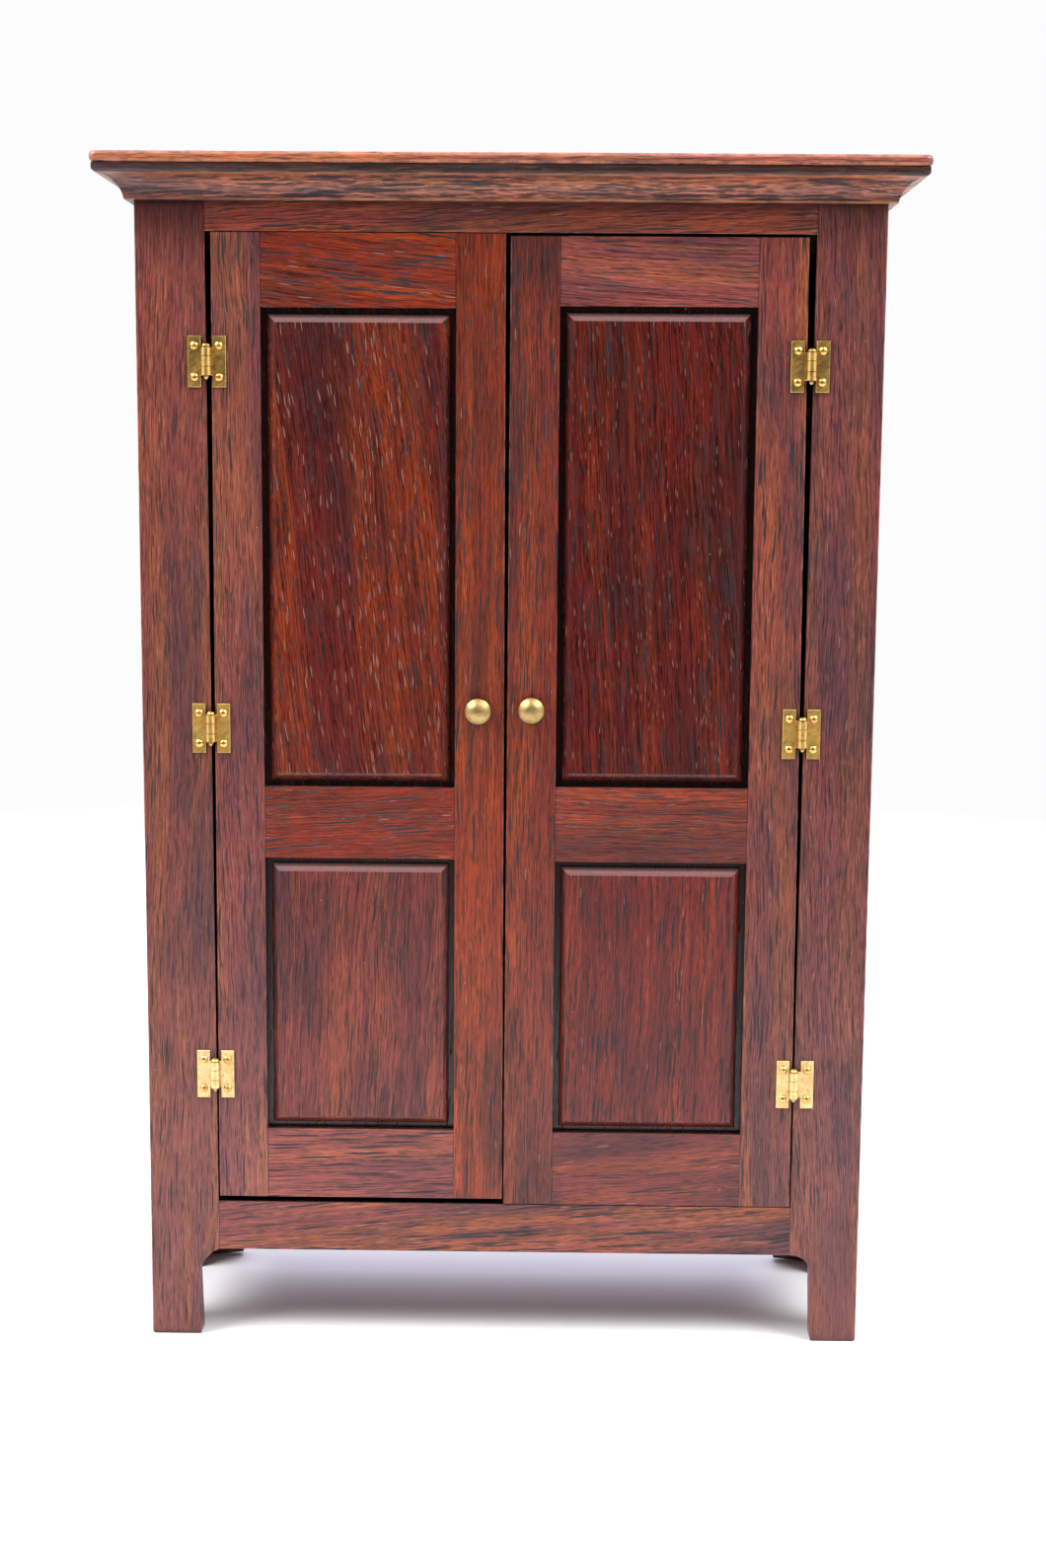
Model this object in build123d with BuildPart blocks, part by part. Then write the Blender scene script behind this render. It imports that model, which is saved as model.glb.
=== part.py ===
from build123d import *
import os
from dataclasses import dataclass
from math import atan2, degrees

# A dolls' house wardrobe at 1:12 scale, in stained mahogany with brass fittings.
# Millimetres. +Z is up and the doors face -Y. The origin is the centre of the footprint, on the floor.

# Carcass
body_width = 114.3
body_depth = 38.1
frame_thickness = 3.2
side_thickness = 3.2
back_thickness = 1.6
floor_board_thickness = 2.4
shelf_thickness = 1.6
arris = 0.3

# Door opening in the face frame: a little wider at the cornice than at the floor
opening_bottom = 22.45
opening_top = 175.35
opening_half_at_floor = 46.1
opening_half_at_cornice = 46.5

# Feet and the arches between them
apron_z = 14.45
bracket_radius = 3.15
side_foot_width = 7.9
rear_foot_inner_x = 47.5
rear_foot_lift = 0.6
foot_corner_radius = 0.45

# Cornice: a bullnosed top board over a mitred cove moulding
cornice_reach = 5.7
cornice_z = 179.85
cove_height = 4.85
cove_toe = 1.25
cove_lip = 5.3
cove_lip_z = 3.55
cove_lip_ease = 0.35
cove_middle = (2.35, 2.3)
top_thickness = 1.8
bullnose_radius = 0.85
top_corner_radius = 1.1

# Interior
shelf_z = 148.0
shelf_setback = 4.2
dado_depth = 0.8
rod_z = 141.0
rod_radius = 1.2
rod_socket_depth = 1.2
stop_thickness = 1.6
stop_drop = 2.4
stop_height = 5.0

# Doors
door_thickness = 3.1
meeting_x = -0.25
meeting_gap_top = 0.75
meeting_gap_bottom = 0.2
door_arris = 0.22
groove_back = 2.45
groove_width = 1.0
groove_depth = 1.3
joint_play = 0.02

# Raised panels: the bevel round the field is cut in steps, each a drop and a width
field_setback = 0.25
field_margin = 0.95
bevel_steps = ((0.7, 0.85), (0.15, 0.4))

# Knobs
knob_radius = 2.0
knob_neck_radius = 0.85
knob_neck_length = 0.75
knob_rim = 0.4
knob_height = 2.15
knob_shank_radius = 0.5
knob_shank_length = 2.2

# Hinges: each axis is vertical, in front of the face, over the edge of the opening
left_axis_x = -46.3
right_axis_x = 46.05
hinge_axis_reach = 0.75
barrel_radius = 0.72
barrel_half_height = 2.1
middle_knuckle_half = 0.76
knuckle_gap = 0.08
leaf_reach = 2.95
leaf_height = 7.75
leaf_thickness = 0.3
leaf_edge = 0.06
notch_width = 0.9
slot_clearance = 0.08
pin_radius = 0.35
pin_clearance = 0.04
pin_head_radius = 0.6
pin_head_height = 0.55
pin_tip_length = 0.6

# Hinge nails
nail_x = 1.88
nail_spacing = 4.75
nail_head_radius = 0.62
nail_head_height = 0.42
nail_radius = 0.25
nail_length = 2.2

body_half = body_width / 2
inner_half = body_half - side_thickness
face_y = -(body_depth - cornice_reach) / 2
back_y = face_y + body_depth
top_z = cornice_z + cove_height
bracket_z = apron_z - bracket_radius
hinge_axis_y = face_y - hinge_axis_reach
back_panel_depth = body_depth - back_thickness
rod_depth = (frame_thickness + back_panel_depth) / 2
LEFT = -1
RIGHT = 1
AXIS_X = {LEFT: left_axis_x, RIGHT: right_axis_x}

# Each front foot's outline under the apron, from the opening's edge, as distances from the middle
# and from the floor: the middle of the bracket's curve, its end, and the foot's inner corner
BRACKETS = {
    LEFT: ((48.15, 12.95), (49.45, 10.0), (49.15, 0)),
    RIGHT: ((48.65, 13.55), (49.5, 11.3), (49.8, 0)),
}


@dataclass
class Door:
    """The fitted sizes of one door: each was planed to its own side of the opening."""

    name: str
    side: int
    hinge_edge_top: float
    hinge_edge_bottom: float
    panel_edges: tuple
    knob_at: tuple
    bottom_gap: float
    bottom_rail: float
    lower_panel: float
    lock_rail: float
    upper_panel: float
    top_rail: float

    @property
    def bottom(self):
        return opening_bottom + self.bottom_gap

    @property
    def lower_panel_z(self):
        low = self.bottom + self.bottom_rail
        return low, low + self.lower_panel

    @property
    def upper_panel_z(self):
        low = self.lower_panel_z[1] + self.lock_rail
        return low, low + self.upper_panel

    @property
    def top(self):
        return self.upper_panel_z[1] + self.top_rail

    @property
    def meeting_edge_top(self):
        return meeting_x + self.side * meeting_gap_top / 2

    @property
    def meeting_edge_bottom(self):
        return meeting_x + self.side * meeting_gap_bottom / 2


# The panel edges are the X of the outer and of the inner stile's grooved edges
LEFT_DOOR = Door("left_door", LEFT, -45.55, -45.95, (-38.1, -8.15), (-4.55, 102.45),
                 0.95, 11.3, 44.2, 11.35, 73.8, 11.15)
RIGHT_DOOR = Door("right_door", RIGHT, 45.35, 45.98, (37.85, 7.65), (3.77, 102.65),
                  0.15, 11.85, 44.2, 11.85, 74.0, 10.35)

# Hinge name: side, height of its middle, how far its leaves sit to the right of its axis, and
# whether the middle knuckle is the frame leaf's
HINGES = {
    "hinge_left_top": (LEFT, 155.85, 0.0, True),
    "hinge_left_middle": (LEFT, 99.4, 0.0, True),
    "hinge_left_bottom": (LEFT, 43.7, 0.0, True),
    "hinge_right_top": (RIGHT, 155.65, -0.15, True),
    "hinge_right_middle": (RIGHT, 99.25, -0.12, True),
    "hinge_right_bottom": (RIGHT, 42.95, 0.25, False),
}


def save(builder, label):
    """Label a finished piece and write it as a STEP file."""
    builder.part.label = label
    export_step(builder.part, f"parts/{label}.step")


def front_plane(depth):
    """A plane that faces forwards, this far behind the front face: its X is X and its Y is Z."""
    return Plane.XZ.offset(-(face_y + depth))


def outward_plane(x, z):
    """A plane through a fitting in the front face: its X is the radius and its Y points forwards."""
    return Plane(origin=(x, face_y, z), x_dir=(1, 0, 0), z_dir=(0, 0, -1))


def opening_half_at(z):
    """Half the width between the face stiles at a height."""
    return opening_half_at_floor + (opening_half_at_cornice - opening_half_at_floor) * z / top_z


def nail_points(side, out):
    """Where one side's nails enter the wood, on the leaves that reach towards out."""
    points = []
    for hinge_side, z, shift, _ in HINGES.values():
        if hinge_side == side:
            x = AXIS_X[side] + shift + out * nail_x
            points += [(x, z - nail_spacing / 2), (x, z + nail_spacing / 2)]
    return points


def dome_arc(rim_radius, rim_height, top_height):
    """The outline of a round dome, from its rim up to the axis."""
    rise = top_height - rim_height
    radius = (rim_radius**2 + rise**2) / (2 * rise)
    centre_height = top_height - radius
    start_angle = degrees(atan2(rim_height - centre_height, rim_radius))
    CenterArc((0, centre_height), radius, start_angle, 90 - start_angle)


def board(x, depth, z):
    """A plain board between pairs of limits."""
    with BuildPart() as piece:
        with BuildSketch(front_plane(depth[1])):
            with Locations(((x[0] + x[1]) / 2, (z[0] + z[1]) / 2)):
                Rectangle(x[1] - x[0], z[1] - z[0])
        extrude(amount=depth[1] - depth[0])
    return piece


# Carcass ------------------------------------------------------------------------------------------


def side_panel():
    """The left side board: an arch between its feet, a dado for the shelf, a socket for the rod."""
    front = face_y + frame_thickness
    arch_front = face_y + side_foot_width
    arch_rear = back_y - side_foot_width
    with BuildPart() as panel:
        with BuildSketch(Plane.YZ.offset(-body_half)):
            with BuildLine():
                Polyline((arch_front, bracket_z), (arch_front, 0), (front, 0), (front, top_z),
                         (back_y, top_z), (back_y, 0), (arch_rear, 0), (arch_rear, bracket_z))
                CenterArc((arch_rear - bracket_radius, bracket_z), bracket_radius, 0, 90)
                Line((arch_rear - bracket_radius, apron_z), (arch_front + bracket_radius, apron_z))
                CenterArc((arch_front + bracket_radius, bracket_z), bracket_radius, 90, 90)
            make_face()
        extrude(amount=side_thickness)
        fillet(panel.edges().filter_by(Axis.X).group_by(Axis.Z)[0], foot_corner_radius)
        outside = panel.faces().sort_by(Axis.X)[0]
        fillet(outside.edges().filter_by(Axis.Z).sort_by(Axis.Y)[-1], arris)
        with BuildSketch(Plane.YZ.offset(-inner_half)):
            with Locations(((face_y + shelf_setback + face_y + back_panel_depth) / 2,
                            shelf_z + shelf_thickness / 2)):
                Rectangle(back_panel_depth - shelf_setback, shelf_thickness)
        extrude(amount=-dado_depth, mode=Mode.SUBTRACT)
        with BuildSketch(Plane.YZ.offset(-inner_half)):
            with Locations((face_y + rod_depth, rod_z)):
                Circle(rod_radius + joint_play)
        extrude(amount=-rod_socket_depth, mode=Mode.SUBTRACT)
    return panel


def face_stile(side):
    """A front stile: full height, ending in a foot with a curved bracket, drilled for its nails."""
    bracket_top = (side * opening_half_at(apron_z), apron_z)
    bracket_middle, bracket_end, foot_corner = [(side * x, z) for x, z in BRACKETS[side]]
    with BuildPart() as stile:
        with BuildSketch(front_plane(frame_thickness)):
            with BuildLine():
                ThreePointArc(bracket_top, bracket_middle, bracket_end)
                Polyline(bracket_end, foot_corner, (side * body_half, 0), (side * body_half, top_z),
                         (side * opening_half_at(top_z), top_z), bracket_top)
            make_face()
        extrude(amount=frame_thickness)
        outside = stile.faces().sort_by(lambda face: side * face.center().X)[-1]
        fillet(outside.edges().filter_by(Axis.Z).sort_by(Axis.Y)[0], arris)
        fillet(stile.edges().filter_by(Axis.Y).group_by(Axis.Z)[0], foot_corner_radius)
        with BuildSketch(front_plane(nail_length)):
            with Locations(*nail_points(side, side)):
                Circle(nail_radius + joint_play)
        extrude(amount=nail_length, mode=Mode.SUBTRACT)
    return stile


def face_rail(z):
    """A face-frame rail, butted between the stiles, with its lower front edge eased."""
    low_half = opening_half_at(z[0])
    high_half = opening_half_at(z[1])
    with BuildPart() as rail:
        with BuildSketch(front_plane(frame_thickness)):
            with BuildLine():
                Polyline((-low_half, z[0]), (low_half, z[0]), (high_half, z[1]), (-high_half, z[1]),
                         close=True)
            make_face()
        extrude(amount=frame_thickness)
        fillet(rail.edges().filter_by(Axis.X).group_by(Axis.Z)[0].sort_by(Axis.Y)[0], arris / 2)
    return rail


def back_panel():
    """The thin back, let in between the sides: its lower corners go down to make the rear feet."""
    arch_x = rear_foot_inner_x - bracket_radius
    with BuildPart() as panel:
        with BuildSketch(front_plane(body_depth)):
            with BuildLine():
                Polyline((-rear_foot_inner_x, bracket_z), (-rear_foot_inner_x, rear_foot_lift),
                         (-inner_half, 0), (-inner_half, top_z), (inner_half, top_z), (inner_half, 0),
                         (rear_foot_inner_x, rear_foot_lift), (rear_foot_inner_x, bracket_z))
                CenterArc((arch_x, bracket_z), bracket_radius, 0, 90)
                Line((arch_x, apron_z), (-arch_x, apron_z))
                CenterArc((-arch_x, bracket_z), bracket_radius, 90, 90)
            make_face()
        extrude(amount=back_thickness)
    return panel


def bullnosed_top():
    """The top board: its front and side edges are rounded over, above and below."""
    depth = body_depth + cornice_reach
    with BuildPart() as top:
        with BuildSketch(Plane.XY.offset(top_z)):
            Rectangle(body_width + 2 * cornice_reach, depth)
        extrude(amount=top_thickness)
        fillet(top.edges().filter_by(Axis.Z).group_by(Axis.Y)[0], top_corner_radius)
        around = top.faces().filter_by(Axis.Z).edges()
        fillet(around.sort_by(Axis.Y)[:-2], bullnose_radius)
    return top


def cove_moulding(profile_plane, length, mitres):
    """A length of cove moulding, mitred by planes: each keeps what is in front of it."""
    with BuildPart() as cove:
        with BuildSketch(profile_plane):
            with BuildLine():
                Line((0, 0), (cove_toe, 0))
                ThreePointArc((cove_toe, 0), cove_middle, (cove_lip - cove_lip_ease, cove_lip_z))
                Polyline((cove_lip - cove_lip_ease, cove_lip_z), (cove_lip, cove_lip_z + cove_lip_ease),
                         (cove_lip, cove_height), (0, cove_height), (0, 0))
            make_face()
        extrude(amount=length, both=True)
        for mitre in mitres:
            split(bisect_by=mitre, keep=Keep.TOP)
    return cove


def front_cove():
    """The front length of cove moulding, mitred at both ends."""
    profile = Plane(origin=(0, face_y, cornice_z), x_dir=(0, -1, 0), z_dir=(-1, 0, 0))
    mitres = [Plane(origin=(end * body_half, face_y, cornice_z), z_dir=(-end, -1, 0))
              for end in (LEFT, RIGHT)]
    return cove_moulding(profile, body_half + 2 * cornice_reach, mitres)


def left_cove():
    """The left return of the cove moulding: mitred in front, square at the back."""
    profile = Plane(origin=(-body_half, back_y, cornice_z), x_dir=(-1, 0, 0), z_dir=(0, 1, 0))
    mitre = Plane(origin=(-body_half, face_y, cornice_z), z_dir=(-1, 1, 0))
    square_end = Plane(origin=(-body_half, back_y, cornice_z), z_dir=(0, -1, 0))
    return cove_moulding(profile, body_depth + 2 * cornice_reach, [mitre, square_end])


def hanging_rod():
    """The dowel under the shelf, its ends in the sockets of the side boards."""
    half_length = inner_half + rod_socket_depth - joint_play
    with BuildPart() as rod:
        with BuildSketch(Plane.YZ):
            with Locations((face_y + rod_depth, rod_z)):
                Circle(rod_radius)
        extrude(amount=half_length, both=True)
    return rod


def mirrored(piece):
    """The same piece on the other side of the wardrobe."""
    with BuildPart() as other:
        mirror(piece.part, about=Plane.YZ)
    return other


def make_carcass():
    """Everything that stands still, apart from the hinges."""
    left_side = side_panel()
    save(left_side, "side_panel_left")
    save(mirrored(left_side), "side_panel_right")
    save(back_panel(), "back_panel")
    floor_depth = (frame_thickness, back_panel_depth)
    floor_z = (opening_bottom - floor_board_thickness, opening_bottom)
    save(board((-inner_half, inner_half), floor_depth, floor_z), "bottom_board")
    save(face_stile(LEFT), "face_stile_left")
    save(face_stile(RIGHT), "face_stile_right")
    save(face_rail((opening_top, top_z)), "face_top_rail")
    save(face_rail((apron_z, opening_bottom)), "face_bottom_rail")
    stop_depth = (frame_thickness, frame_thickness + stop_thickness)
    stop_z = (opening_top - stop_drop, opening_top - stop_drop + stop_height)
    save(board((-inner_half, inner_half), stop_depth, stop_z), "door_stop")
    shelf_half = inner_half + dado_depth
    shelf_depth = (shelf_setback, back_panel_depth)
    save(board((-shelf_half, shelf_half), shelf_depth, (shelf_z, shelf_z + shelf_thickness)), "hat_shelf")
    save(hanging_rod(), "hanging_rod")
    save(bullnosed_top(), "top_board")
    save(front_cove(), "cove_front")
    left_return = left_cove()
    save(left_return, "cove_left")
    save(mirrored(left_return), "cove_right")


# Doors --------------------------------------------------------------------------------------------


def door_stile(door, edge_bottom, edge_top, grooved_x, holes, hole_radius, hole_depth):
    """A door stile: a planed free edge, a groove along the other edge, and holes for its fittings."""
    with BuildPart() as stile:
        with BuildSketch(front_plane(door_thickness)):
            with BuildLine():
                Polyline((edge_bottom, door.bottom), (edge_top, door.top), (grooved_x, door.top),
                         (grooved_x, door.bottom), close=True)
            make_face()
        extrude(amount=door_thickness)
        front_edges = stile.faces().sort_by(Axis.Y)[0].edges()
        free_edge = front_edges.sort_by(lambda edge: abs(edge.center().X - grooved_x))[-1]
        fillet(free_edge, door_arris)
        with BuildSketch(front_plane(groove_back)):
            with Locations((grooved_x, (door.bottom + door.top) / 2)):
                Rectangle(2 * groove_depth, 2 * (door.top - door.bottom))
        extrude(amount=groove_width, mode=Mode.SUBTRACT)
        with BuildSketch(front_plane(hole_depth)):
            with Locations(*holes):
                Circle(hole_radius + joint_play)
        extrude(amount=hole_depth, mode=Mode.SUBTRACT)
    return stile


def door_rail(door, z, grooved):
    """A door rail: stub tenons that fill the stiles' grooves, and a groove wherever a panel meets it."""
    left, right = sorted(door.panel_edges)
    middle_x = (left + right) / 2
    with BuildPart() as rail:
        add(board((left, right), (0, door_thickness), z).part)
        with BuildSketch(front_plane(groove_back - joint_play)):
            with Locations((middle_x, (z[0] + z[1]) / 2)):
                Rectangle(right - left + 2 * (groove_depth - joint_play), z[1] - z[0])
        extrude(amount=groove_width - 2 * joint_play)
        with BuildSketch(front_plane(groove_back)):
            with Locations(*[(middle_x, edge_z) for edge_z in grooved]):
                Rectangle(2 * (right - left), 2 * groove_depth)
        extrude(amount=groove_width, mode=Mode.SUBTRACT)
    return rail


def raised_panel(door, z):
    """A raised panel: a thin tongue in the grooves, and a field that stands forward with a bevel."""
    left, right = sorted(door.panel_edges)
    width = right - left
    height = z[1] - z[0]
    tongue = groove_depth - 5 * joint_play
    tongue_front = groove_back - groove_width + joint_play
    step_start = field_setback + sum(drop for drop, _ in bevel_steps)
    middle = ((left + right) / 2, (z[0] + z[1]) / 2)
    with BuildPart() as panel:
        with BuildSketch(front_plane(groove_back - joint_play)):
            with Locations(middle):
                Rectangle(width + 2 * tongue, height + 2 * tongue)
        extrude(amount=groove_width - 2 * joint_play)
        with BuildSketch(front_plane(tongue_front)):
            with Locations(middle):
                Rectangle(width - 2 * field_margin, height - 2 * field_margin)
        extrude(amount=tongue_front - step_start)
        margin = field_margin
        for drop, step_width in bevel_steps:
            with BuildSketch(front_plane(step_start)):
                with Locations(middle):
                    Rectangle(width - 2 * margin, height - 2 * margin)
            extrude(amount=drop, taper=degrees(atan2(step_width, drop)))
            step_start -= drop
            margin += step_width
    return panel


def knob(door):
    """A turned brass knob: a shank in the stile, a short neck and a low domed head."""
    rim_start = knob_neck_length
    with BuildPart() as turned:
        with BuildSketch(outward_plane(*door.knob_at)):
            with BuildLine():
                Polyline((0, knob_height), (0, -knob_shank_length), (knob_shank_radius, -knob_shank_length),
                         (knob_shank_radius, 0), (knob_neck_radius, 0), (knob_neck_radius, rim_start),
                         (knob_radius - knob_rim / 2, rim_start + knob_rim / 2),
                         (knob_radius, rim_start + knob_rim))
                dome_arc(knob_radius, rim_start + knob_rim, knob_height)
            make_face()
        revolve(axis=Axis((door.knob_at[0], face_y, door.knob_at[1]), (0, -1, 0)))
    return turned


def make_door(door):
    """One framed door with its two raised panels and its knob."""
    outer_x, inner_x = door.panel_edges
    nails = nail_points(door.side, -door.side)
    outer = door_stile(door, door.hinge_edge_bottom, door.hinge_edge_top, outer_x, nails,
                       nail_radius, nail_length)
    save(outer, f"{door.name}_outer_stile")
    inner = door_stile(door, door.meeting_edge_bottom, door.meeting_edge_top, inner_x,
                       [door.knob_at], knob_shank_radius, knob_shank_length)
    save(inner, f"{door.name}_inner_stile")
    lower = door.lower_panel_z
    upper = door.upper_panel_z
    save(door_rail(door, (door.bottom, lower[0]), [lower[0]]), f"{door.name}_bottom_rail")
    save(door_rail(door, (lower[1], upper[0]), [lower[1], upper[0]]), f"{door.name}_lock_rail")
    save(door_rail(door, (upper[1], door.top), [upper[1]]), f"{door.name}_top_rail")
    save(raised_panel(door, lower), f"{door.name}_lower_panel")
    save(raised_panel(door, upper), f"{door.name}_upper_panel")
    save(knob(door), f"{door.name}_knob")


# Hinges -------------------------------------------------------------------------------------------


def knuckle_spans(middle):
    """The heights, from the hinge's middle, of the middle knuckle or of the two outer ones."""
    if middle:
        spans = [(-middle_knuckle_half, middle_knuckle_half)]
    else:
        inner = middle_knuckle_half + knuckle_gap
        spans = [(-barrel_half_height, -inner), (inner, barrel_half_height)]
    return spans


def hinge_leaf(side, z, shift, out, has_middle):
    """A leaf that reaches towards out, with its knuckles and with room for the other leaf's."""
    axis_x = AXIS_X[side]
    leaf_x = axis_x + shift
    reach = leaf_reach + out * shift
    notch_height = leaf_height / 2 - barrel_half_height
    with BuildPart() as leaf:
        with BuildSketch(front_plane(0)):
            with Locations((axis_x + out * reach / 2, z)):
                Rectangle(reach, leaf_height)
            with Locations(*[(leaf_x, z + end * (leaf_height - notch_height) / 2) for end in (-1, 1)]):
                Rectangle(2 * notch_width, notch_height, mode=Mode.SUBTRACT)
        extrude(amount=leaf_thickness)
        chamfer(leaf.faces().sort_by(Axis.Y)[0].edges(), leaf_edge)
        for low, high in knuckle_spans(not has_middle):
            with BuildSketch(Plane.XY.offset(z + low - knuckle_gap)):
                with Locations((axis_x, hinge_axis_y)):
                    Circle(barrel_radius + slot_clearance)
            extrude(amount=high - low + 2 * knuckle_gap, mode=Mode.SUBTRACT)
        for low, high in knuckle_spans(has_middle):
            with BuildSketch(Plane.XY.offset(z + low)):
                with Locations((axis_x, hinge_axis_y)):
                    Circle(barrel_radius)
            extrude(amount=high - low)
        with BuildSketch(Plane.XY.offset(z)):
            with Locations((axis_x, hinge_axis_y)):
                Circle(pin_radius + pin_clearance)
        extrude(amount=leaf_height, both=True, mode=Mode.SUBTRACT)
        with BuildSketch(front_plane(0)):
            with Locations(*[(leaf_x + out * nail_x, z + end * nail_spacing / 2) for end in (-1, 1)]):
                Circle(nail_radius + joint_play)
        extrude(amount=leaf_thickness, mode=Mode.SUBTRACT)
    return leaf


def hinge_pin(side, z):
    """A hinge pin: a domed head above the knuckles and a short point below them."""
    axis_x = AXIS_X[side]
    head_z = barrel_half_height + knuckle_gap
    head_edge_z = head_z + pin_head_height / 3
    tip_z = -barrel_half_height - pin_tip_length
    with BuildPart() as pin:
        with BuildSketch(Plane(origin=(axis_x, hinge_axis_y, z), x_dir=(1, 0, 0), z_dir=(0, -1, 0))):
            with BuildLine():
                Polyline((0, head_z + pin_head_height), (0, tip_z), (pin_radius / 2, tip_z),
                         (pin_radius, tip_z + pin_tip_length / 2), (pin_radius, head_z),
                         (pin_head_radius, head_z), (pin_head_radius, head_edge_z))
                dome_arc(pin_head_radius, head_edge_z, head_z + pin_head_height)
            make_face()
        revolve(axis=Axis((axis_x, hinge_axis_y, z), (0, 0, 1)))
    return pin


def hinge_nails(side, out):
    """The nails through one side's leaves that reach towards out: round heads and pointed shanks."""
    edge = leaf_thickness + nail_head_height / 4
    with BuildPart() as nail:
        with BuildSketch(outward_plane(0, 0)):
            with BuildLine():
                Polyline((0, leaf_thickness + nail_head_height), (0, -nail_length),
                         (nail_radius, -nail_length + 2 * nail_radius), (nail_radius, leaf_thickness),
                         (nail_head_radius, leaf_thickness), (nail_head_radius, edge))
                dome_arc(nail_head_radius, edge, leaf_thickness + nail_head_height)
            make_face()
        revolve(axis=Axis((0, face_y, 0), (0, -1, 0)))
    with BuildPart() as nails:
        with Locations(*[(x, 0, z) for x, z in nail_points(side, out)]):
            add(nail.part)
    return nails


def make_hinges():
    """Six butt hinges on the front face, with their pins and nails."""
    for name, (side, z, shift, middle_on_frame) in HINGES.items():
        save(hinge_leaf(side, z, shift, side, middle_on_frame), f"{name}_frame_leaf")
        save(hinge_leaf(side, z, shift, -side, not middle_on_frame), f"{name}_door_leaf")
        save(hinge_pin(side, z), f"{name}_pin")
    for side, side_name in ((LEFT, "left"), (RIGHT, "right")):
        save(hinge_nails(side, side), f"nails_{side_name}_frame")
        save(hinge_nails(side, -side), f"nails_{side_name}_door")


os.makedirs("parts", exist_ok=True)
make_carcass()
make_door(LEFT_DOOR)
make_door(RIGHT_DOOR)
make_hinges()
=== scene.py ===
import bpy
from math import cos, radians, sin
from mathutils import Matrix, Vector


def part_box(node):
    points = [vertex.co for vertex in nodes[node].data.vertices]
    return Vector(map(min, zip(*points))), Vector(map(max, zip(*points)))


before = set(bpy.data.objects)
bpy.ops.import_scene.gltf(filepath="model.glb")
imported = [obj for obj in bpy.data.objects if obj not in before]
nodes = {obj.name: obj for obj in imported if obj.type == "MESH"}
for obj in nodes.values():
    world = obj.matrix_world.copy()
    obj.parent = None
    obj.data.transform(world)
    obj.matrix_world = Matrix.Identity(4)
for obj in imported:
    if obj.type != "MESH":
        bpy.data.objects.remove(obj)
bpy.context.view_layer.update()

MM = 0.001
UP = "Z"
ACROSS = "X"
DEEP = "Y"


def srgb(red, green, blue):
    """A display colour from 0 to 255, as the linear colour that a shader takes."""
    def linear(value):
        value /= 255
        return value / 12.92 if value <= 0.04045 else ((value + 0.055) / 1.055) ** 2.4
    return linear(red), linear(green), linear(blue), 1.0


# Shader building ----------------------------------------------------------------------------------


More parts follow.
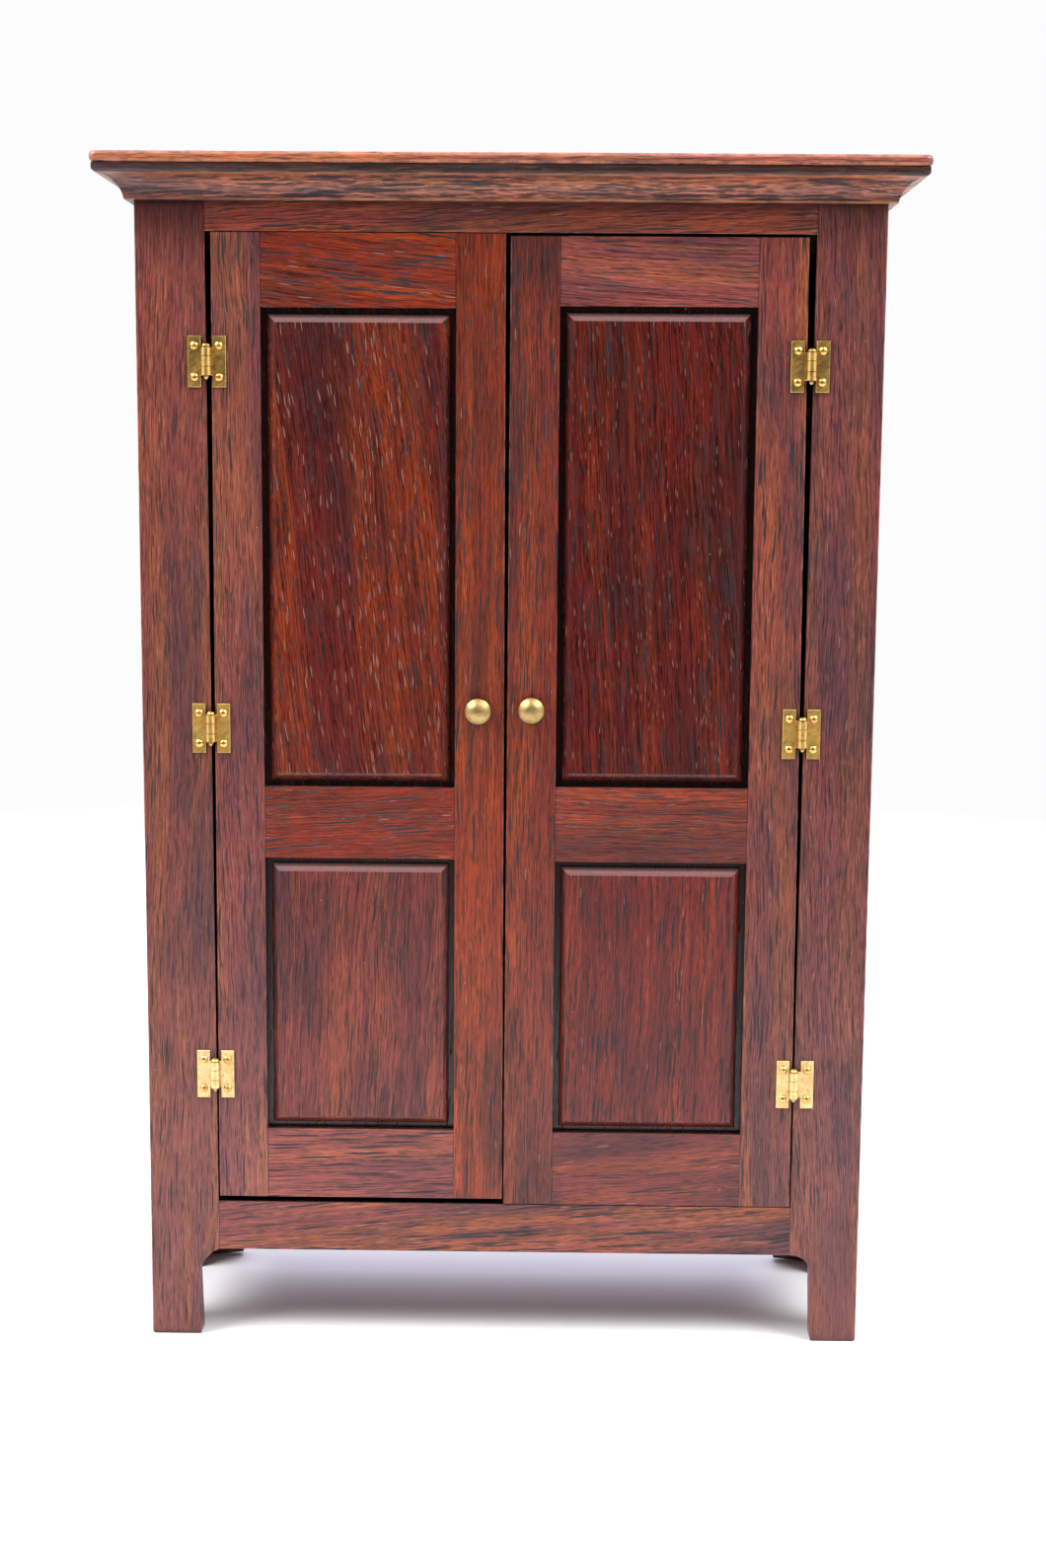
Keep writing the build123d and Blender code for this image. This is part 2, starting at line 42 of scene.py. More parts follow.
class Graph:
    """A node tree with short calls for the nodes that the materials use."""

    def __init__(self, tree):
        self.tree = tree

    def node(self, kind, **settings):
        made = self.tree.nodes.new(kind)
        for key, value in settings.items():
            setattr(made, key, value)
        return made

    def put(self, socket, value):
        """Link an output to a socket, or set the socket's own value."""
        if isinstance(value, bpy.types.NodeSocket):
            self.tree.links.new(value, socket)
        else:
            socket.default_value = value

    def fill(self, made, values):
        """Put values in a node's first sockets, in order."""
        for socket, value in zip(made.inputs, values):
            self.put(socket, value)
        return made

    def math(self, operation, *values):
        return self.fill(self.node("ShaderNodeMath", operation=operation), values).outputs[0]

    def vector(self, operation, *values):
        return self.fill(self.node("ShaderNodeVectorMath", operation=operation), values).outputs[0]

    def times(self, first, *rest):
        for value in rest:
            first = self.math("MULTIPLY", first, value)
        return first

    def plus(self, a, b):
        return self.math("ADD", a, b)

    def minus(self, a, b):
        return self.math("SUBTRACT", a, b)

    def most(self, a, b):
        return self.math("MAXIMUM", a, b)

    def below(self, value, limit):
        """1 where a value is below a limit, and 0 elsewhere."""
        return self.math("LESS_THAN", value, limit)

    def split(self, vector):
        return self.fill(self.node("ShaderNodeSeparateXYZ"), (vector,)).outputs

    def join(self, x, y, z):
        return self.fill(self.node("ShaderNodeCombineXYZ"), (x, y, z)).outputs[0]

    def in_mm(self, place):
        return self.vector("MULTIPLY", place, (1 / MM,) * 3)

    def ramp(self, value, low, high, out_low=0.0, out_high=1.0):
        """A smooth step from out_low at low to out_high at high."""
        made = self.node("ShaderNodeMapRange", interpolation_type="SMOOTHSTEP")
        return self.fill(made, (value, low, high, out_low, out_high)).outputs[0]

    def mix(self, factor, a, b, blend="MIX"):
        made = self.node("ShaderNodeMix", data_type="RGBA", blend_type=blend)
        # A colour mix's factor and its two colours are these of the node's sockets
        for index, value in ((0, factor), (6, a), (7, b)):
            self.put(made.inputs[index], value)
        return made.outputs[2]

    def scaled(self, colour, factor):
        """A colour times a number."""
        return self.mix(1.0, colour, self.join(factor, factor, factor), "MULTIPLY")

    def noise(self, vector, stretch, detail, roughness=0.6):
        made = self.node("ShaderNodeTexNoise")
        self.put(made.inputs["Vector"], self.vector("MULTIPLY", vector, stretch))
        made.inputs["Scale"].default_value = 1.0
        made.inputs["Detail"].default_value = detail
        made.inputs["Roughness"].default_value = roughness
        return made.outputs["Fac"]

    def cells(self, vector, stretch):
        """The distance to the nearest of many scattered points, and that point's random numbers."""
        made = self.node("ShaderNodeTexVoronoi")
        self.put(made.inputs["Vector"], self.vector("MULTIPLY", vector, stretch))
        made.inputs["Scale"].default_value = 1.0
        return made.outputs["Distance"], self.split(made.outputs["Color"])

    def board(self, turn, seed, steps):
        """An object's coordinates, and its place in millimetres, turned and moved seed steps away."""
        place = self.node("ShaderNodeTexCoord").outputs
        board = self.node("ShaderNodeMapping")
        self.put(board.inputs["Vector"], place["Object"])
        board.inputs["Scale"].default_value = (1 / MM,) * 3
        board.inputs["Rotation"].default_value = turn
        board.inputs["Location"].default_value = [seed * step for step in steps]
        return place, board.outputs[0]

    def tilt(self, facing):
        """The sizes of a normal's X, Y and Z, and the largest of the three."""
        sizes = self.split(self.vector("ABSOLUTE", facing))
        return sizes, self.most(sizes[0], self.most(sizes[1], sizes[2]))

    def openness(self, reach):
        """1 in the open, and less within reach of another surface, in millimetres."""
        made = self.node("ShaderNodeAmbientOcclusion", samples=6)
        made.inputs["Distance"].default_value = reach * MM
        return made.outputs["AO"]

    def bump(self, shader, height, strength, depth):
        """Relief on a shader, of a depth in millimetres."""
        made = self.node("ShaderNodeBump")
        made.inputs["Strength"].default_value = strength
        made.inputs["Distance"].default_value = depth * MM
        self.put(made.inputs["Height"], height)
        self.put(shader.inputs["Normal"], made.outputs[0])


def new_group(name, inputs, outputs):
    """A node group with number, vector and colour sockets."""
    kinds = {"n": "NodeSocketFloat", "v": "NodeSocketVector", "c": "NodeSocketColor"}
    tree = bpy.data.node_groups.new(name, "ShaderNodeTree")
    for direction, sockets in (("INPUT", inputs), ("OUTPUT", outputs)):
        for label, kind in sockets:
            tree.interface.new_socket(label, in_out=direction, socket_type=kinds[kind])
    graph = Graph(tree)
    return graph, graph.node("NodeGroupInput").outputs, graph.node("NodeGroupOutput").inputs


# Mahogany -----------------------------------------------------------------------------------------

BROWN = srgb(124, 58, 48)
PLUM_BROWN = srgb(92, 50, 52)
ORANGE_BROWN = srgb(160, 84, 40)
DARK_PORE = srgb(26, 22, 34)
PALE_PORE = srgb(172, 132, 120)
RUBBED_WOOD = srgb(190, 118, 84)
DUST_AND_TOP_HIGHLIGHT = srgb(168, 134, 132)
DUST_SPECK = srgb(214, 190, 186)
SHADE_AND_DIRT = srgb(9, 4, 4)
LIP_SHADOW = srgb(26, 14, 12)
RUBBED_LINE = srgb(206, 140, 92)
SHADED_COVE = srgb(62, 36, 42)
CORNICE_SHADE = srgb(44, 16, 20)
FLOOR_LIGHT_ON_FOOT = srgb(168, 82, 62)

# How many times a millimetre each pattern changes, along, through and across the grain
DRIFT = (0.018, 0.04, 0.04)
RIPPLE = (0.16, 0.35, 0.35)
BANDS = (0.012, 0.18, 0.34)
PATCHES = (0.03, 0.07, 0.1)
FIBRES = (0.1, 6.0, 6.0)
FLECKS = (0.45, 8.5, 8.5)
LONG_PORES = (0.09, 2.2, 2.2)
SHORT_PORES = (0.3, 4.2, 4.2)
# The same for patterns that lie on the surface, whichever way the grain runs
RUBBING = (0.35,) * 3
SPECKS = (0.3,) * 3

# Millimetres, from where a shade is nothing to where it is full
ABOVE_FEET = (14.2, 14.8)
INBOARD = (53.0, 51.0)
HAIRLINE = (0.22, 0.06)
UNDER_CORNICE = (169.0, 179.0)
DOWN_THE_FOOT = (34.0, 4.0)

# The front of the face frame and doors
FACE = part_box("face_stile_left")[0][1] / MM
# The heights of the cornice moulding's toe and of its lip
COVE_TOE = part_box("cove_front")[0][2] / MM
COVE_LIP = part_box("cove_front")[1][2] / MM - 1.3
# A place along X further out than any joint
NO_JOINT = 1000.0

WOOD = {"Warm": 0.5, "Plum": 0.7, "Pores": 0.9, "Pore Size": 0.88, "Pale": 0.05, "Wave": 0.4,
        "Dust": 0.4, "Wear": 0.5, "Recess": 0.9, "Recess From": FACE + 0.1, "Groove": 0.0,
        "Top Dust And Highlight": 0.25, "Crevice Shade": 0.8, "Contrast": 1.35, "Polish": 0.35,
        "Joint Low": -NO_JOINT, "Joint High": NO_JOINT}
PANEL = {"Recess From": FACE + 1.05, "Groove": 1.0, "Top Dust And Highlight": 0.42, "Wear": 0.0,
         "Contrast": 1.7, "Pore Size": 0.82}
UPPER_PANEL = {**PANEL, "Pale": 0.32, "Polish": 0.27}
COVE = {"Recess": 0.0, "Wear": 0.0, "Plum": 0.8, "Contrast": 2.2, "Pore Size": 1.3}
SIDE = {"Recess": 0.0, "Contrast": 1.2}
BEHIND = {"Recess": 0.0, "Polish": 0.6, "Contrast": 1.2}
# How much painted shade darkens each towards the cornice, and how much painted light from the floor
# warms its foot
STILE_ENDS = {"face_stile_left": (0.9, 0.0), "face_stile_right": (0.3, 0.2),
              "face_top_rail": (0.15, 0.0)}


def pores(g, wood, bands, given):
    """Pores: long thin cells, in two sizes, more of them where the bands are open."""
    crowd = g.times(given["Pores"], g.ramp(bands, 0.3, 0.7, 0.6, 1.25))
    long_gap, long_random = g.cells(wood, LONG_PORES)
    short_gap, short_random = g.cells(wood, SHORT_PORES)
    long_size = g.times(given["Pore Size"], g.ramp(long_random[1], 0.0, 1.0, 0.26, 0.42))
    short_size = g.times(given["Pore Size"], g.ramp(short_random[1], 0.0, 1.0, 0.24, 0.4))
    long_pore = g.times(g.ramp(g.minus(long_size, long_gap), 0.0, 0.06),
                        g.below(long_random[0], g.times(crowd, 0.85)))
    short_pore = g.times(g.ramp(g.minus(short_size, short_gap), 0.0, 0.08),
                         g.below(short_random[0], crowd))
    pale = g.times(g.below(short_random[2], given["Pale"]), g.below(long_pore, 0.3))
    return g.most(long_pore, g.times(short_pore, 0.8)), pale


def mahogany_group():
    """Stained mahogany: fibres along the grain, open pores, old varnish, dust and wear, with painted
    shade in grooves and crevices and a painted highlight where it faces up.
    """
    vectors = [(label, "v") for label in ("Place", "Grain", "Facing")]
    numbers = [(label, "n") for label in WOOD]
    g, given, result = new_group("mahogany", [*vectors, ("Stain", "c"), *numbers],
                                 [("Color", "c"), ("Roughness", "n"), ("Height", "n")])

    # The grain wanders: its distance across the board drifts along the board's length
    along, depth, across = g.split(given["Grain"])
    drift = g.noise(given["Grain"], DRIFT, 2.0, 0.5)
    ripple = g.noise(given["Grain"], RIPPLE, 2.0, 0.5)
    sway = g.times(g.minus(drift, 0.5), g.times(given["Wave"], 9.0))
    tremble = g.times(g.minus(ripple, 0.5), 0.7)
    wood = g.join(along, depth, g.plus(across, g.plus(sway, tremble)))

    # Broad colour: bands along the grain, and soft patches of purple brown and orange
    bands = g.noise(wood, BANDS, 3.0, 0.55)
    patches = g.noise(wood, PATCHES, 3.0)
    fibres = g.noise(wood, FIBRES, 3.0, 0.62)
    flecks = g.noise(wood, FLECKS, 2.0, 0.65)
    colour = g.mix(g.times(g.ramp(patches, 0.42, 0.66), given["Plum"]), BROWN, PLUM_BROWN)
    colour = g.mix(g.times(g.ramp(bands, 0.44, 0.66), given["Warm"]), colour, ORANGE_BROWN)
    light = g.plus(g.ramp(fibres, 0.28, 0.72, 0.56, 1.42), g.ramp(flecks, 0.25, 0.75, -0.38, 0.4))
    light = g.times(light, g.ramp(patches, 0.3, 0.75, 1.1, 0.88))
    light = g.math("MULTIPLY_ADD", g.minus(light, 1.0), given["Contrast"], 1.0)
    light = g.most(light, 0.15)
    colour = g.scaled(g.mix(1.0, colour, given["Stain"], "MULTIPLY"), light)

    pore, pale = pores(g, wood, bands, given)
    pore_strength = g.times(pore, g.ramp(pale, 0.0, 1.0, 0.92, 0.6))
    colour = g.mix(pore_strength, colour, g.mix(pale, DARK_PORE, PALE_PORE))

    # Wear on the arrises: there the surface faces between the board's own directions
    facing, flattest = g.tilt(given["Facing"])
    rubbed = g.ramp(g.noise(given["Place"], RUBBING, 4.0, 0.65), 0.4, 0.62)
    worn = g.times(g.ramp(flattest, 0.99, 0.86), rubbed, given["Wear"])
    colour = g.mix(worn, colour, RUBBED_WOOD)

    # Dust, and a painted highlight, where the surface faces up: it is made paler there
    place_x, place_y, place_z = g.split(given["Place"])
    turned = g.split(given["Facing"])
    dust_and_highlight = g.times(g.ramp(turned[2], 0.12, 0.45), given["Top Dust And Highlight"])
    colour = g.mix(dust_and_highlight, colour, DUST_AND_TOP_HIGHLIGHT)

    # Painted shade, with some dirt, on edges, grooves and corners where other surfaces come close, and
    # dark joint lines
    # Painted shade on the walls of grooves and recesses that lie behind the face
    deep = g.ramp(g.minus(place_y, given["Recess From"]), 0.0, 0.3)
    edge_on = g.most(g.ramp(facing[1], 0.5, 0.1), given["Groove"])
    not_behind = g.ramp(turned[1], 0.6, 0.2)
    within = g.times(g.ramp(place_z, *ABOVE_FEET), g.ramp(g.math("ABSOLUTE", place_x), *INBOARD))
    recess = g.times(deep, edge_on, given["Recess"], not_behind, within)
    # Painted shade in crevices, where another surface is within reach
    crevice = g.times(g.ramp(g.openness(1.6), 0.95, 0.35), given["Crevice Shade"])
    joint = g.math("MINIMUM", g.minus(place_x, given["Joint Low"]),
                   g.minus(given["Joint High"], place_x))
    shade_and_dirt = g.most(crevice, g.times(g.ramp(joint, *HAIRLINE), 0.6))
    shade_and_dirt = g.most(shade_and_dirt, g.times(recess, 0.95))
    colour = g.mix(shade_and_dirt, colour, SHADE_AND_DIRT)

    # Dust: sparse pale specks lying in the varnish
    speck_gap, speck_random = g.cells(given["Place"], SPECKS)
    speck_size = g.ramp(speck_random[1], 0.5, 1.0, 0.02, 0.05)
    speck = g.times(g.below(speck_gap, speck_size), g.below(speck_random[0], given["Dust"]))
    g.put(result["Color"], g.mix(g.times(speck, 0.8), colour, DUST_SPECK))

    haze = g.times(g.minus(patches, 0.5), 0.3)
    rough = g.plus(g.plus(given["Polish"], haze), g.times(pore, 0.18))
    rough = g.minus(rough, g.times(shade_and_dirt, 0.12))
    g.put(result["Roughness"], g.math("MINIMUM", g.most(rough, 0.12), 0.9))
    relief = g.minus(g.times(fibres, 0.35), pore)
    g.put(result["Height"], g.plus(relief, g.times(speck, 0.6)))
    return g.tree


MAHOGANY = mahogany_group()


def new_material(name):
    material = bpy.data.materials.new(name)
    material.use_nodes = True
    shader = next(n for n in material.node_tree.nodes if n.type == "BSDF_PRINCIPLED")
    return material, Graph(material.node_tree), shader


def cove_lines(g, place, colour):
    """The cornice moulding's lip darkened by a painted shadow under the bead, thin rubbed lines by its
    lip and toe, and painted shade on its left end.
    """
    height = g.split(g.in_mm(place))[2]
    # Painted shadow under the bead: the lip is darkened
    lip = g.ramp(height, COVE_LIP - 0.05, COVE_LIP + 0.15)
    colour = g.mix(g.times(lip, 0.86), colour, LIP_SHADOW)
    for line, strength in ((COVE_LIP - 0.1, 0.45), (COVE_TOE + 0.12, 0.75)):
        near = g.ramp(g.math("ABSOLUTE", g.minus(height, line)), 0.16, 0.05)
        patchy = g.ramp(g.noise(place, (180.0,) * 3, 4.0), 0.36, 0.6, 0.3, 1.0)
        colour = g.mix(g.times(near, patchy, strength), colour, RUBBED_LINE)
    # Painted shade towards the moulding's left end
    left_end = g.ramp(g.split(place)[0], -0.036, -0.056, 0.0, 0.55)
    return g.mix(left_end, colour, SHADED_COVE)


def stile_ends(g, place, colour, shade_and_dirt, foot_light):
    """Painted shade that darkens a stile towards the cornice, and painted light from the floor that
    makes its foot warmer.
    """
    height = g.split(g.in_mm(place))[2]
    # Painted shade under the cornice, strongest right under the moulding's toe
    near = g.most(g.ramp(height, *UNDER_CORNICE, 0.0, 0.55),
                  g.ramp(height, COVE_TOE - 1.6, COVE_TOE))
    colour = g.mix(g.times(near, shade_and_dirt), colour, CORNICE_SHADE)
    # Painted light from the floor: the foot is made warmer and lighter
    return g.mix(g.ramp(height, *DOWN_THE_FOOT, 0.0, foot_light), colour, FLOOR_LIGHT_ON_FOOT)


# How the grain's own frame, with its X along the fibres, is turned about Y and Z from the wardrobe's
GRAIN_TURN = {UP: (90.0, 0.0), ACROSS: (0.0, 0.0), DEEP: (0.0, 90.0)}
# How far apart, in millimetres of the pattern, the boards of two neighbouring seeds are cut
WOOD_STEPS = (91.3, 37.7, 53.9)


def wood(name, grain, seed, lean, stain, **changes):
    """A board's mahogany: which way its grain runs and leans, where it was cut, and its colour."""
    material, g, shader = new_material(f"wood_{name}")
    about_y, about_z = GRAIN_TURN[grain]
    place, board = g.board((0.0, radians(about_y + lean), radians(about_z)), seed, WOOD_STEPS)
    mahogany = g.node("ShaderNodeGroup", node_tree=MAHOGANY)
    g.put(mahogany.inputs["Grain"], board)
    g.put(mahogany.inputs["Place"], g.in_mm(place["Object"]))
    g.put(mahogany.inputs["Facing"], place["Normal"])
    mahogany.inputs["Stain"].default_value = (*stain, 1.0)
    for label, value in {**WOOD, **changes}.items():
        mahogany.inputs[label].default_value = value
    colour = mahogany.outputs["Color"]
    if name.startswith("cove"):
        colour = cove_lines(g, place["Object"], colour)
    if name in STILE_ENDS:
        colour = stile_ends(g, place["Object"], colour, *STILE_ENDS[name])
    g.put(shader.inputs["Base Color"], colour)
    g.put(shader.inputs["Roughness"], mahogany.outputs["Roughness"])
    g.bump(shader, mahogany.outputs["Height"], 0.8, 0.1)
    return material


BRASS_STAIN = srgb(142, 80, 38)
BRASS_DIRT = srgb(66, 42, 22)
BRASS_RIM_HIGHLIGHT = (0.98, 0.78, 0.38, 1.0)
BRASS_STEPS = (17.1, 29.9, 7.7)


def brass(name, colour, dull, roughness, seed, rim=0.0):
    """Old lacquered brass: dull patches, fine scratches, a painted highlight on its edges, dirt in its
    corners.
    """
    material, g, shader = new_material(f"brass_{name}")
    place, at = g.board((0.3, radians(35.0), 0.2), seed, BRASS_STEPS)
    patches = g.noise(at, (0.55,) * 3, 4.0)
    scratches = g.noise(at, (0.5, 9.0, 9.0), 3.0)
    pits = g.noise(at, (5.0,) * 3, 3.0)
    tint = g.mix(g.ramp(patches, 0.4, 0.68, 0.0, 0.75), (*colour, 1.0), (*dull, 1.0))
    stains = g.ramp(g.noise(at, (1.9,) * 3, 3.0), 0.58, 0.72, 0.0, 0.55)
    tint = g.mix(stains, tint, BRASS_STAIN)
    flattest = g.tilt(place["Normal"])[1]
    # Painted highlight: the edges are made brighter, by up to rim
    tint = g.mix(g.ramp(flattest, 0.98, 0.8, 0.0, rim), tint, BRASS_RIM_HIGHLIGHT)
    uneven = g.plus(g.ramp(scratches, 0.3, 0.7, 0.86, 1.12), g.ramp(pits, 0.3, 0.7, -0.07, 0.07))
    tint = g.scaled(tint, uneven)
    tint = g.mix(g.ramp(g.openness(0.35), 0.85, 0.3, 0.0, 0.8), tint, BRASS_DIRT)
    g.put(shader.inputs["Base Color"], tint)
    shader.inputs["Metallic"].default_value = 1.0
    rough = g.plus(g.ramp(patches, 0.35, 0.7, roughness, roughness + 0.16),
                   g.ramp(scratches, 0.35, 0.7, -0.03, 0.08))
    g.put(shader.inputs["Roughness"], rough)
    g.bump(shader, g.plus(scratches, g.times(pits, 0.6)), 0.4, 0.02)
    return material


def finish_with(node, material):
    """Give a CAD node its finished material in place of its plain one."""
    for slot in nodes[node].material_slots:
        slot.material = material


# Boards -------------------------------------------------------------------------------------------

# Node: the way its grain runs, a number that says where it was cut, the grain's lean, the colour of
# its stain as red, green and blue shares, and what differs from WOOD
BOARDS = {
    "face_stile_left": (UP, 1, -1.0, (0.72, 0.85, 0.95), {"Warm": 0.4}),
    "face_stile_right": (UP, 2, 1.0, (0.62, 0.77, 0.99), {"Warm": 0.3, "Plum": 0.9}),
    "face_top_rail": (ACROSS, 3, 3.0, (1, 0.95, 0.85), {}),
    "face_bottom_rail": (ACROSS, 4, 5.0, (0.84, 0.8, 0.9),
                         {"Warm": 0.7, "Pores": 0.95, "Pore Size": 1.15}),
    "side_panel_left": (UP, 5, 1.0, (0.64, 0.7, 0.78), SIDE),
    "side_panel_right": (UP, 6, -1.0, (0.6, 0.68, 0.78), SIDE),
    "back_panel": (UP, 7, 0.5, (0.75, 0.78, 0.8), BEHIND),
    "bottom_board": (ACROSS, 8, 0.5, (0.7, 0.72, 0.75), BEHIND),
    "hat_shelf": (ACROSS, 9, 0.5, (0.7, 0.72, 0.75), BEHIND),
    "door_stop": (ACROSS, 10, 0.5, (0.5, 0.5, 0.5), BEHIND),
    "hanging_rod": (ACROSS, 11, 0.0, (0.8, 0.8, 0.8), {"Recess": 0.0, "Wear": 0.0}),
    "top_board": (ACROSS, 12, 1.0, (1.15, 1.3, 1.2), {"Recess": 0.0, "Warm": 0.7, "Wear": 0.9}),
    "cove_front": (ACROSS, 13, 0.5, (1.3, 1.7, 1.4), COVE),
    "cove_left": (DEEP, 14, 0.0, (1.3, 1.7, 1.4), COVE),
    "cove_right": (DEEP, 15, 0.0, (1.3, 1.7, 1.4), COVE),
    "left_door_outer_stile": (UP, 21, 0.5, (0.74, 0.88, 1.1), {}),
    "left_door_inner_stile": (UP, 22, -0.5, (0.82, 0.49, 0.21), {"Warm": 0.7}),
    "left_door_top_rail": (ACROSS, 23, -5.0, (0.75, 0.41, 0.22), {"Warm": 0.7}),
    "left_door_lock_rail": (ACROSS, 24, 5.0, (0.85, 0.36, 0.13), {}),
    "left_door_bottom_rail": (ACROSS, 25, 2.0, (1, 0.94, 1.1), {}),
    "left_door_upper_panel": (UP, 26, 7.0, (0.42, 0.24, 0.23), {**UPPER_PANEL, "Warm": 0.8}),
    "left_door_lower_panel": (UP, 27, -3.0, (0.59, 0.44, 0.5), PANEL),
    "right_door_outer_stile": (UP, 31, 0.5, (0.81, 0.86, 0.92), {}),
    "right_door_inner_stile": (UP, 32, -0.5, (0.66, 0.47, 0.34), {"Warm": 0.5}),
    "right_door_top_rail": (ACROSS, 33, -4.0, (0.9, 0.98, 1.2), {}),
    "right_door_lock_rail": (ACROSS, 34, 1.0, (0.74, 0.45, 0.33), {"Warm": 0.45}),
    "right_door_bottom_rail": (ACROSS, 35, 6.0, (0.72, 0.54, 0.6), {}),
    "right_door_upper_panel": (UP, 36, 4.0, (0.35, 0.17, 0.16), UPPER_PANEL),
    "right_door_lower_panel": (UP, 37, -2.0, (0.53, 0.25, 0.22), PANEL),
}


def joint_lines(node):
    """The X of both ends of a rail's face, in millimetres: where it meets the stiles."""
    if "rail" not in node:
        return {}
    if node.startswith("face"):
        low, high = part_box(node)
        return {"Joint Low": low[0] / MM, "Joint High": high[0] / MM}
    door = node.split("_door_")[0]
    order = ("outer", "inner") if door == "left" else ("inner", "outer")
    before, after = (f"{door}_door_{which}_stile" for which in order)
    return {"Joint Low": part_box(before)[1][0] / MM, "Joint High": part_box(after)[0][0] / MM}


for node, (grain, seed, lean, stain, changes) in BOARDS.items():
    finish_with(node, wood(node, grain, seed, lean, stain, **joint_lines(node), **changes))

# Each of the CAD's metals, as its colour where bright and where dull, its roughness and its seed
BRASS = {
    "hinge_brass": brass("hinge", (0.95, 0.6, 0.17), (0.72, 0.4, 0.09), 0.32, 1, rim=0.45),
    "hinge_pin_brass": brass("pin", (0.78, 0.5, 0.16), (0.5, 0.29, 0.08), 0.32, 2),
    "nail_brass": brass("nail", (0.86, 0.56, 0.18), (0.54, 0.32, 0.09), 0.24, 3),
    "knob_brass": brass("knob", (0.52, 0.37, 0.15), (0.4, 0.27, 0.1), 0.4, 4),
}
# The leaves of the bottom hinges are paler: a painted reflection of the bright floor close in front of
# them
FLOOR_REFLECTING_BRASS = brass("hinge_floor_reflection", (0.9, 0.68, 0.32), (0.8, 0.5, 0.2), 0.36, 5, rim=0.6)
for node, piece in nodes.items():
    if node in BOARDS:
        continue
    metal = BRASS[piece.material_slots[0].material.name]
    finish_with(node, FLOOR_REFLECTING_BRASS if "bottom" in node and node.endswith("leaf") else metal)


# Studio -------------------------------------------------------------------------------------------


WHITE = (0.975, 0.975, 0.985, 1.0)
PAPER = (0.86, 0.86, 0.875, 1.0)
DIM = (0.045, 0.045, 0.05, 1.0)
# In metres: how far from the wardrobe the paper fades into the sky, and at which Y a card fades in
PAPER_FADE = (0.3, 0.6)
CARD_FADE = (-0.14, -0.42)


def stage_material(name, build):
    """A material whose surface is what build makes."""
    material = bpy.data.materials.new(name)
    material.use_nodes = True
    tree = material.node_tree
    tree.nodes.clear()
    g = Graph(tree)
    g.put(g.node("ShaderNodeOutputMaterial").inputs["Surface"], build(g))
    return material


def blended(g, factor, near, far):
    """One surface shader fading into another."""
    return g.fill(g.node("ShaderNodeMixShader"), (factor, near, far)).outputs[0]


def paper(g):
    """White paper by the wardrobe, fading into the white of the sky."""
    place = g.split(g.node("ShaderNodeTexCoord").outputs["Object"])
    away = g.node("ShaderNodeVectorMath", operation="LENGTH")
    g.put(away.inputs[0], g.join(place[0], place[1], 0.0))
    diffuse = g.node("ShaderNodeBsdfDiffuse")
    g.put(diffuse.inputs["Color"], PAPER)
    glow = g.node("ShaderNodeEmission")
    g.put(glow.inputs["Color"], WHITE)
    fade = g.ramp(away.outputs["Value"], *PAPER_FADE)
    return blended(g, fade, diffuse.outputs[0], glow.outputs[0])


def card(g):
    """Dark card that fades out towards the wardrobe."""
    place = g.split(g.node("ShaderNodeTexCoord").outputs["Object"])
    clear = g.node("ShaderNodeBsdfTransparent")
    dark = g.node("ShaderNodeEmission")
    g.put(dark.inputs["Color"], DIM)
    return blended(g, g.ramp(place[1], *CARD_FADE), clear.outputs[0], dark.outputs[0])


def sheet(name, corners, build):
    """A flat staged rectangle."""
    mesh = bpy.data.meshes.new(name)
    mesh.from_pydata(corners, [], [(0, 1, 2, 3)])
    mesh.materials.append(stage_material(f"{name}_surface", build))
    made = bpy.data.objects.new(name, mesh)
    bpy.context.scene.collection.objects.link(made)
    return made


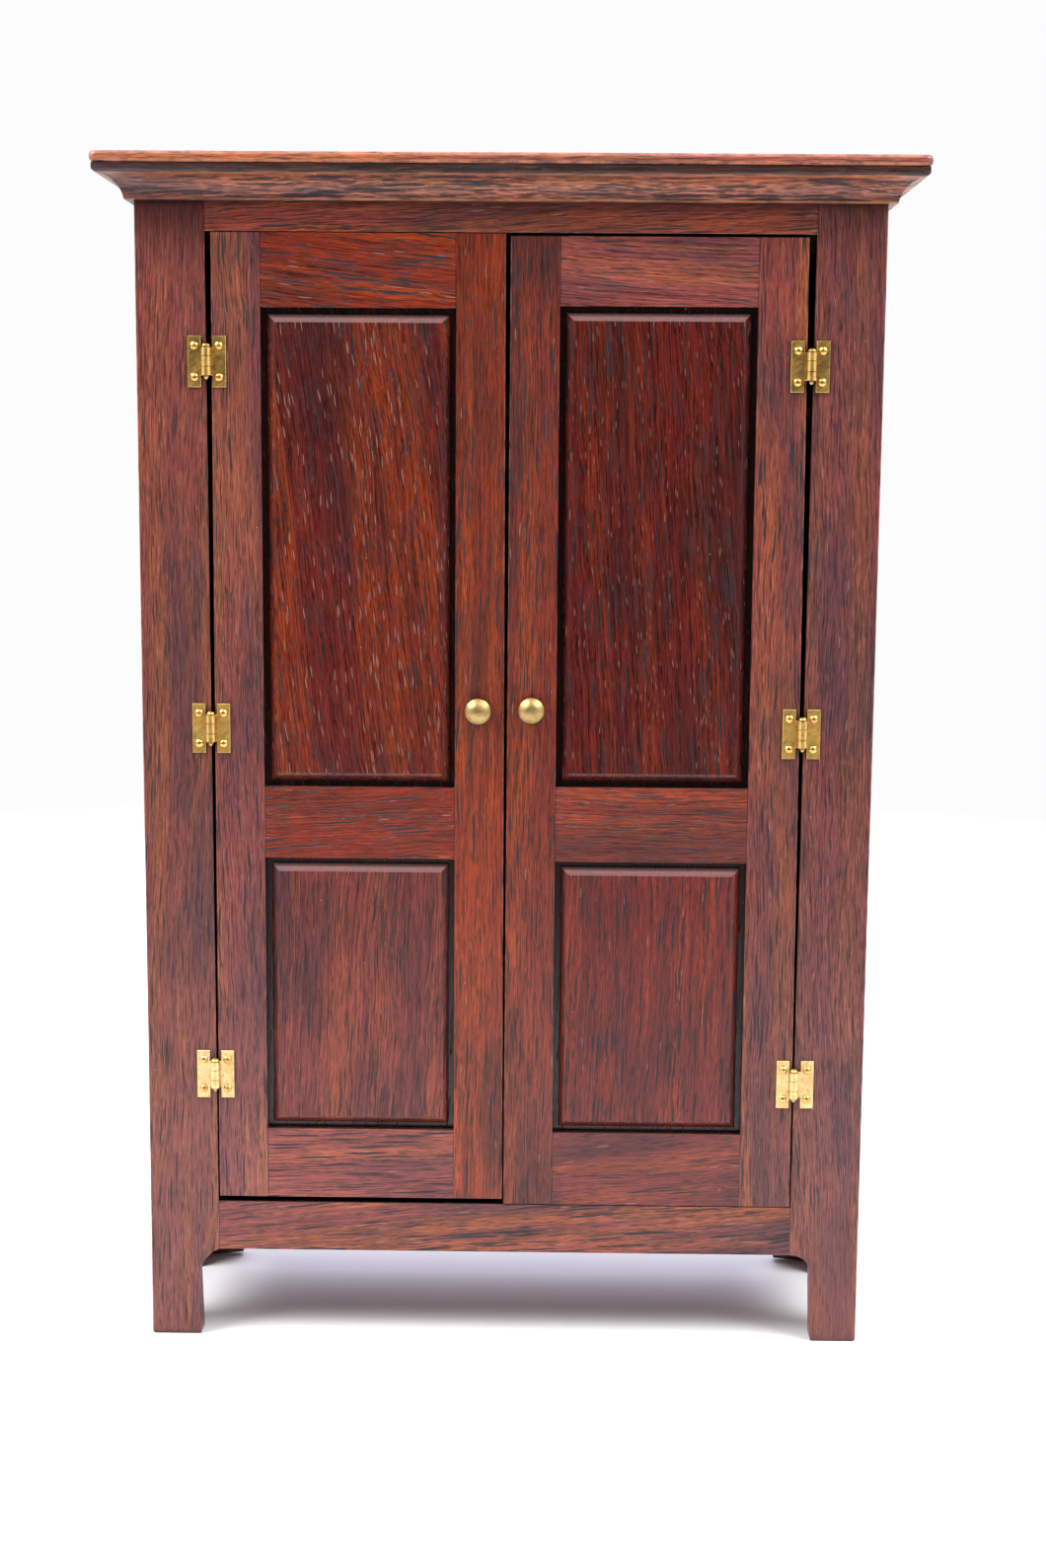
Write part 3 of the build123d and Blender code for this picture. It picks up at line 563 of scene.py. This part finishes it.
def make_surroundings():
    """A white floor and sky, with dark cards ahead of the doors for their gloss to reflect."""
    reach = 6.0
    wide, near, far, top, rise = 0.95, -0.1, -0.76, 0.75, 0.0006
    far_edge = [(-wide, far, rise), (wide, far, rise)]
    sheet("floor", [(-reach, -reach, 0), (reach, -reach, 0), (reach, reach, 0), (-reach, reach, 0)],
          paper)
    low_card = sheet("low_card", [*far_edge, (wide, near, rise), (-wide, near, rise)], card)
    low_card.visible_diffuse = False
    far_card = sheet("far_card", [*far_edge, (wide, far, top), (-wide, far, top)], card)
    for dark_card in (low_card, far_card):
        dark_card.visible_camera = False
        dark_card.visible_shadow = False
    world = bpy.data.worlds.new("studio")
    world.use_nodes = True
    bpy.context.scene.world = world
    background = next(n for n in world.node_tree.nodes if n.type == "BACKGROUND")
    background.inputs["Color"].default_value = WHITE


def softbox(name, place, aim, size, power, colour=(1.0, 1.0, 1.0)):
    """A rectangular light that the camera doesn't see."""
    light = bpy.data.lights.new(name, "AREA")
    light.shape = "RECTANGLE"
    light.size, light.size_y = size
    light.energy = power
    light.color = colour
    lamp = bpy.data.objects.new(name, light)
    lamp.location = place
    lamp.visible_camera = False
    lamp.rotation_mode = "QUATERNION"
    lamp.rotation_quaternion = (Vector(aim) - Vector(place)).to_track_quat("-Z", "Y")
    bpy.context.scene.collection.objects.link(lamp)


CAMERA_PLACE = (0.00702, -0.3545, 0.13887)
# The camera's yaw, pitch and roll, in radians
CAMERA_TURN = (-0.013195, 0.140573, 0.0073585)


def make_camera():
    """The photograph's viewpoint: a little above the middle, looking slightly down."""
    yaw, pitch, roll = CAMERA_TURN
    forward = Vector((sin(yaw) * cos(pitch), cos(yaw) * cos(pitch), -sin(pitch)))
    level = Vector((cos(yaw), -sin(yaw), 0.0))
    upright = level.cross(forward)
    right = cos(roll) * level + sin(roll) * upright
    up = cos(roll) * upright - sin(roll) * level
    data = bpy.data.cameras.new("camera")
    data.lens = 50.0
    data.sensor_width = 36.0
    data.clip_start = 0.01
    camera = bpy.data.objects.new("camera", data)
    turn = Matrix((right, up, -forward)).transposed()
    camera.matrix_world = Matrix.Translation(CAMERA_PLACE) @ turn.to_4x4()
    bpy.context.scene.collection.objects.link(camera)
    bpy.context.scene.camera = camera


make_surroundings()
middle = (0.0, -0.01, 0.09)
softbox("softbox_left", (-0.55, -0.26, 0.7), middle, (0.45, 0.45), 8.2)
softbox("softbox_right", (0.55, -0.26, 0.7), middle, (0.45, 0.45), 7.2)
softbox("back_light", (0.0, 0.5, 0.44), (0.0, 0.02, 0.0), (0.5, 0.4), 2.9, (0.74, 0.74, 1.0))
make_camera()
bpy.context.scene.view_settings.view_transform = "Standard"
